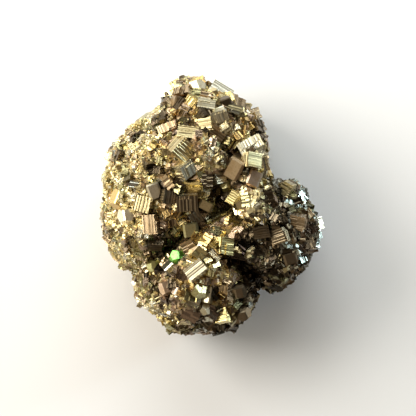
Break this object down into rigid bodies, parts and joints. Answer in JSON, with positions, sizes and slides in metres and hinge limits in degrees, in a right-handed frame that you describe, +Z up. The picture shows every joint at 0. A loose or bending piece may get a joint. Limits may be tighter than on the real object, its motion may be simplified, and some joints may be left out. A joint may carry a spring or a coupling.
{
  "type": "pyrite crystal cluster specimen",
  "caption": "Fist-sized lump of brassy metallic pyrite, fine-grained, with blocky striated cubes and pyritohedra grown over it, lying on its broken flat back.",
  "frame": {"origin": "middle of the specimen's footprint, on the surface that it lies on", "axes": "+Z up out of the crystal-covered face, away from the flat broken back; +Y along the longest way of the lump, to the end with the narrow top lobe; +X to the right, to the dark lobe"},
  "size_m": [0.0866, 0.1004, 0.0578],
  "materials": {
    "massive_pyrite": "fine-grained natural metallic pyrite, granular and sparkling, brassy to bronze brown",
    "pyrite_crystal": "natural metallic pyrite crystal faces, striated, pale brass with bronze-brown tarnish",
    "green_tarnish": "metallic crystal face with a bright green iridescent tarnish film"
  },
  "bodies": {
    "root": {"matrix": "massive_pyrite", "bottom_brown_crystal": "pyrite_crystal", "bottom_pale_block": "pyrite_crystal", "bottom_right_crystal": "pyrite_crystal", "bottom_yellow_block": "pyrite_crystal", "cleft_olive_block": "pyrite_crystal", "far_side_block": "pyrite_crystal", "floor_olive_cube": "pyrite_crystal", "floor_striated_cube": "pyrite_crystal", "green_tarnished_crystal": "green_tarnish", "hollow_amber_cube": "pyrite_crystal", "hollow_dark_block": "pyrite_crystal", "hollow_dark_cube": "pyrite_crystal", "hollow_long_block": "pyrite_crystal", "hollow_rounded_crystal": "pyrite_crystal", "hollow_striated_cube": "pyrite_crystal", "hollow_yellow_block": "pyrite_crystal", "left_brown_cube": "pyrite_crystal", "left_lower_block": "pyrite_crystal", "left_pale_block": "pyrite_crystal", "left_rounded_crystal": "pyrite_crystal", "left_side_cube": "pyrite_crystal", "left_side_pyritohedron": "pyrite_crystal", "left_yellow_crystal": "pyrite_crystal", "lower_amber_block": "pyrite_crystal", "lower_striated_block": "pyrite_crystal", "near_side_cube": "pyrite_crystal", "pit_brown_cube": "pyrite_crystal", "pit_dark_block": "pyrite_crystal", "pit_lower_cube": "pyrite_crystal", "pit_lower_left_cube": "pyrite_crystal", "ridge_brown_block": "pyrite_crystal", "ridge_foot_block": "pyrite_crystal", "ridge_lower_block": "pyrite_crystal", "ridge_pale_block": "pyrite_crystal", "right_lobe_block": "pyrite_crystal", "right_lobe_cube": "pyrite_crystal", "right_lower_block": "pyrite_crystal", "right_side_block": "pyrite_crystal", "right_side_pyritohedron": "pyrite_crystal", "right_striated_block": "pyrite_crystal", "right_tip_crystal": "pyrite_crystal", "shoulder_cube": "pyrite_crystal", "shoulder_grey_block": "pyrite_crystal", "shoulder_lower_cube": "pyrite_crystal", "spur_block": "pyrite_crystal", "top_left_cube": "pyrite_crystal", "top_pyritohedron": "pyrite_crystal", "top_right_block": "pyrite_crystal", "upper_amber_cube": "pyrite_crystal", "upper_brown_block": "pyrite_crystal", "upper_dark_block": "pyrite_crystal", "upper_grey_block": "pyrite_crystal", "upper_olive_cube": "pyrite_crystal", "upper_right_cube": "pyrite_crystal", "upper_side_cube": "pyrite_crystal", "upper_slab": "pyrite_crystal", "upper_striated_cube": "pyrite_crystal", "valley_slab": "pyrite_crystal"}
  },
  "joints": []
}
